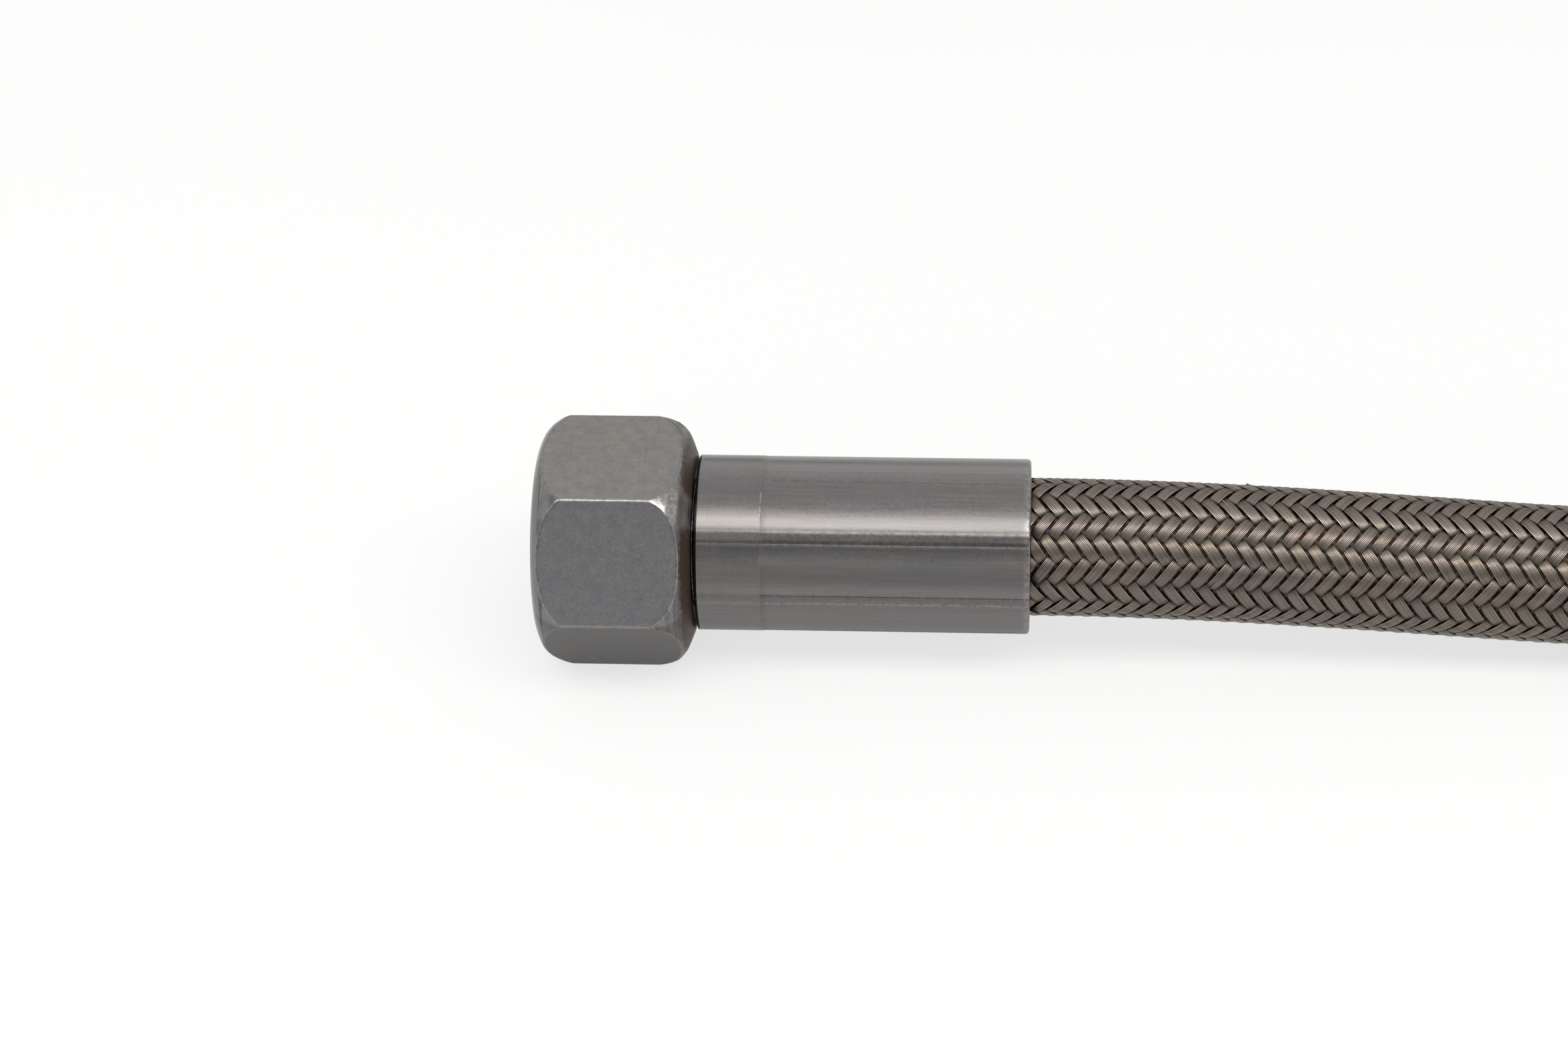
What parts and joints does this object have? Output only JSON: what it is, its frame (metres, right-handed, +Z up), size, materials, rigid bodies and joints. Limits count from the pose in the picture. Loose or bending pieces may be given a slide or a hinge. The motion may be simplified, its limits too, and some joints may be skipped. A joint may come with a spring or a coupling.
{
  "type": "ptfe high-pressure hose",
  "caption": "Smooth-bore PTFE hose under a stainless wire braid, with crimped ferrules and hexagonal union nuts on cone nipples, for fluid under high pressure.",
  "frame": {"origin": "on the surface that the hose lies on, midway between the two fittings and at the middle of their length", "axes": "+X along both fittings, from the nuts' open faces towards the hose; +Y from fitting a to fitting b; +Z up"},
  "size_m": [0.2341, 0.2006, 0.027],
  "materials": {
    "nut_steel": "turned and tumbled steel, dull grey, fine scratches and rubbed edges",
    "ferrule_steel": "satin steel with die marks and drawn scratches along it",
    "nipple_steel": "fine turned steel",
    "braid_wire": "bright drawn stainless wire, warm grey",
    "ptfe": "waxy off-white"
  },
  "bodies": {
    "hose": {"hose_braid": "braid_wire", "hose_liner": "ptfe", "nipple_a": "nipple_steel", "nipple_b": "nipple_steel", "ferrule_a": "ferrule_steel", "ferrule_b": "ferrule_steel"},
    "nut_a": {"swivel_nut_a": "nut_steel"},
    "nut_b": {"swivel_nut_b": "nut_steel"}
  },
  "joints": [
    {"name": "nut_a_spin", "type": "hinge", "parent": "hose", "child": "nut_a", "pos_m": [-0.0202, -0.0847, 0.0135], "axis": [1, 0, 0], "continuous": true},
    {"name": "nut_b_spin", "type": "hinge", "parent": "hose", "child": "nut_b", "pos_m": [-0.0202, 0.0847, 0.0135], "axis": [1, 0, 0], "continuous": true}
  ]
}
